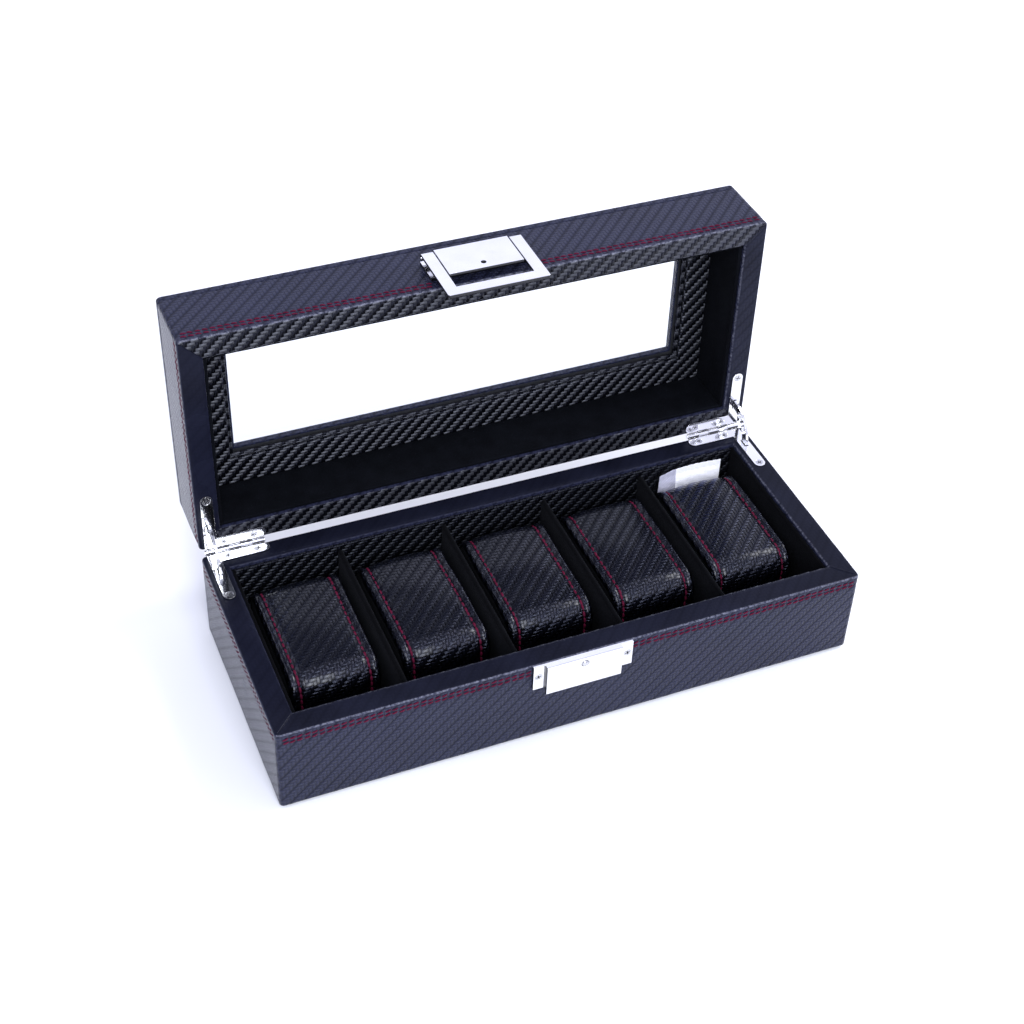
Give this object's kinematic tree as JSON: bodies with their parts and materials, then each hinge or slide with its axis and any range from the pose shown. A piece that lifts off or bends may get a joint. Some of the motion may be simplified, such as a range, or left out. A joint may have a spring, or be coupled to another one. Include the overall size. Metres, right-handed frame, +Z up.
{
  "type": "watch box",
  "caption": "Long leather-covered watch box with cushioned compartments, a glazed hinged lid on corner stay hinges, and a bail latch over a strike plate.",
  "frame": {"origin": "centre of the box's underside, on the felt", "axes": "+X along the box's length, +Y towards the hinges, +Z up; the lid stands open on its stays"},
  "size_m": [0.268, 0.1535, 0.1641],
  "materials": {
    "leather_navy": "carbon-weave embossed, satin",
    "pillow_leather": "carbon-weave embossed, glossy",
    "velvet": "short pile",
    "felt": "pressed felt",
    "board": "raw fibreboard",
    "nickel": "polished nickel plating",
    "glass": "clear polished",
    "sachet": "white paper"
  },
  "bodies": {
    "base": {"base_front_board": "board", "base_rear_board": "board", "base_left_board": "board", "base_right_board": "board", "base_floor_board": "board", "base_leather_cover": "leather_navy", "base_bottom_felt": "felt", "floor_pad": "velvet", "liner_front": "leather_navy", "liner_rear": "leather_navy", "liner_left": "velvet", "liner_right": "velvet", "divider_1": "velvet", "divider_2": "velvet", "divider_3": "velvet", "divider_4": "velvet", "desiccant_sachet": "sachet", "strike_plate": "nickel", "strike_screws": "nickel", "catch_spring": "nickel", "hinge_left_lower_leaf": "nickel", "hinge_right_lower_leaf": "nickel", "hinge_lower_screws": "nickel", "hinge_pins": "nickel"},
    "lid": {"lid_front_board": "board", "lid_rear_board": "board", "lid_left_board": "board", "lid_right_board": "board", "lid_leather_cover": "leather_navy", "lid_top_panel": "board", "lid_panel_leather": "leather_navy", "lid_window_frame": "leather_navy", "lid_glass": "glass", "lid_window_bead": "leather_navy", "lid_liner_front": "velvet", "lid_liner_rear": "velvet", "lid_liner_left": "velvet", "lid_liner_right": "velvet", "hinge_left_upper_leaf": "nickel", "hinge_right_upper_leaf": "nickel", "hinge_upper_screws": "nickel", "latch_plate": "nickel", "latch_screws": "nickel", "latch_pin": "nickel"},
    "latch": {"latch_bail": "nickel"},
    "catch": {"catch_button": "nickel"},
    "left_stay": {"stay_left": "nickel"},
    "right_stay": {"stay_right": "nickel"},
    "pillow_1_body": {"pillow_1": "pillow_leather"},
    "pillow_2_body": {"pillow_2": "pillow_leather"},
    "pillow_3_body": {"pillow_3": "pillow_leather"},
    "pillow_4_body": {"pillow_4": "pillow_leather"},
    "pillow_5_body": {"pillow_5": "pillow_leather"}
  },
  "joints": [
    {"name": "lid_hinge", "type": "hinge", "parent": "base", "child": "lid", "pos_m": [0, 0.0572, 0.0451], "axis": [-1, 0, 0], "range_deg": [-90.7, 0]},
    {"name": "left_stay_swing", "type": "hinge", "parent": "base", "child": "left_stay", "pos_m": [-0.1288, 0.0572, 0.0451], "axis": [-1, 0, 0], "range_deg": [-45.36, 0.01]},
    {"name": "right_stay_swing", "type": "hinge", "parent": "base", "child": "right_stay", "pos_m": [0.1288, 0.0572, 0.0451], "axis": [-1, 0, 0], "range_deg": [-45.36, 0.01]},
    {"name": "latch_swing", "type": "hinge", "parent": "lid", "child": "latch", "pos_m": [0, 0.07823, 0.16215], "axis": [-1, 0, 0], "range_deg": [0, 85]},
    {"name": "catch_push", "type": "slide", "parent": "base", "child": "catch", "axis": [0, 1, 0], "range_m": [0, 0.0008], "stiffness_N_per_m": 500, "springref_m": -0.001, "deforming": ["catch_spring"]},
    {"name": "pillow_1_lift", "type": "slide", "parent": "base", "child": "pillow_1_body", "axis": [0, 0, 1], "range_m": [0, 0.05]},
    {"name": "pillow_2_lift", "type": "slide", "parent": "base", "child": "pillow_2_body", "axis": [0, 0, 1], "range_m": [0, 0.05]},
    {"name": "pillow_3_lift", "type": "slide", "parent": "base", "child": "pillow_3_body", "axis": [0, 0, 1], "range_m": [0, 0.05]},
    {"name": "pillow_4_lift", "type": "slide", "parent": "base", "child": "pillow_4_body", "axis": [0, 0, 1], "range_m": [0, 0.05]},
    {"name": "pillow_5_lift", "type": "slide", "parent": "base", "child": "pillow_5_body", "axis": [0, 0, 1], "range_m": [0, 0.05]}
  ],
  "couplings": [
    {"joint": "left_stay_swing", "follows": "lid_hinge", "ratio": 0.5},
    {"joint": "right_stay_swing", "follows": "lid_hinge", "ratio": 0.5}
  ]
}
